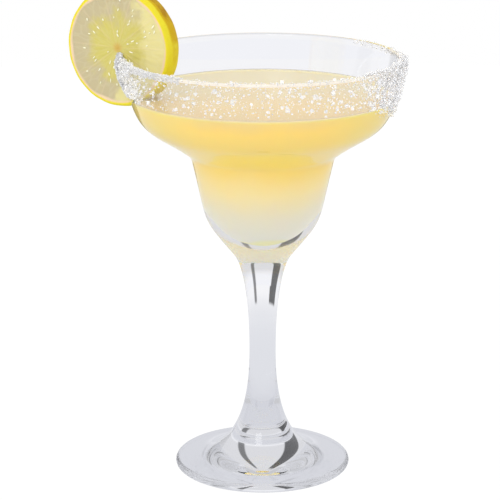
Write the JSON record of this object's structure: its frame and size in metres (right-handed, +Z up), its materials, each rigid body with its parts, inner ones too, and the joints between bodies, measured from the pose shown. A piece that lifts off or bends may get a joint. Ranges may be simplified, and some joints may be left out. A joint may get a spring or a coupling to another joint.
{
  "type": "margarita cocktail",
  "caption": "Margarita in a stemmed saucer glass with a rounded foot, a salt crust round the front of its lip and a lemon wheel slit onto the lip.",
  "frame": {"origin": "centre of the glass's foot, on the surface that it stands on", "axes": "+Z up along the glass's axis, -X towards the lemon wheel, -Y towards the viewer"},
  "size_m": [0.1366, 0.1156, 0.2005],
  "materials": {
    "glass": "clear, polished",
    "drink": "cloudy pale yellow drink, paler towards the bottom",
    "salt": "coarse white crystals",
    "lemon": "waxy yellow rind, pale moist flesh"
  },
  "bodies": {
    "root": {"glass": "glass", "drink": "drink", "salt_rim": "salt", "lemon_wheel": "lemon"}
  },
  "joints": []
}
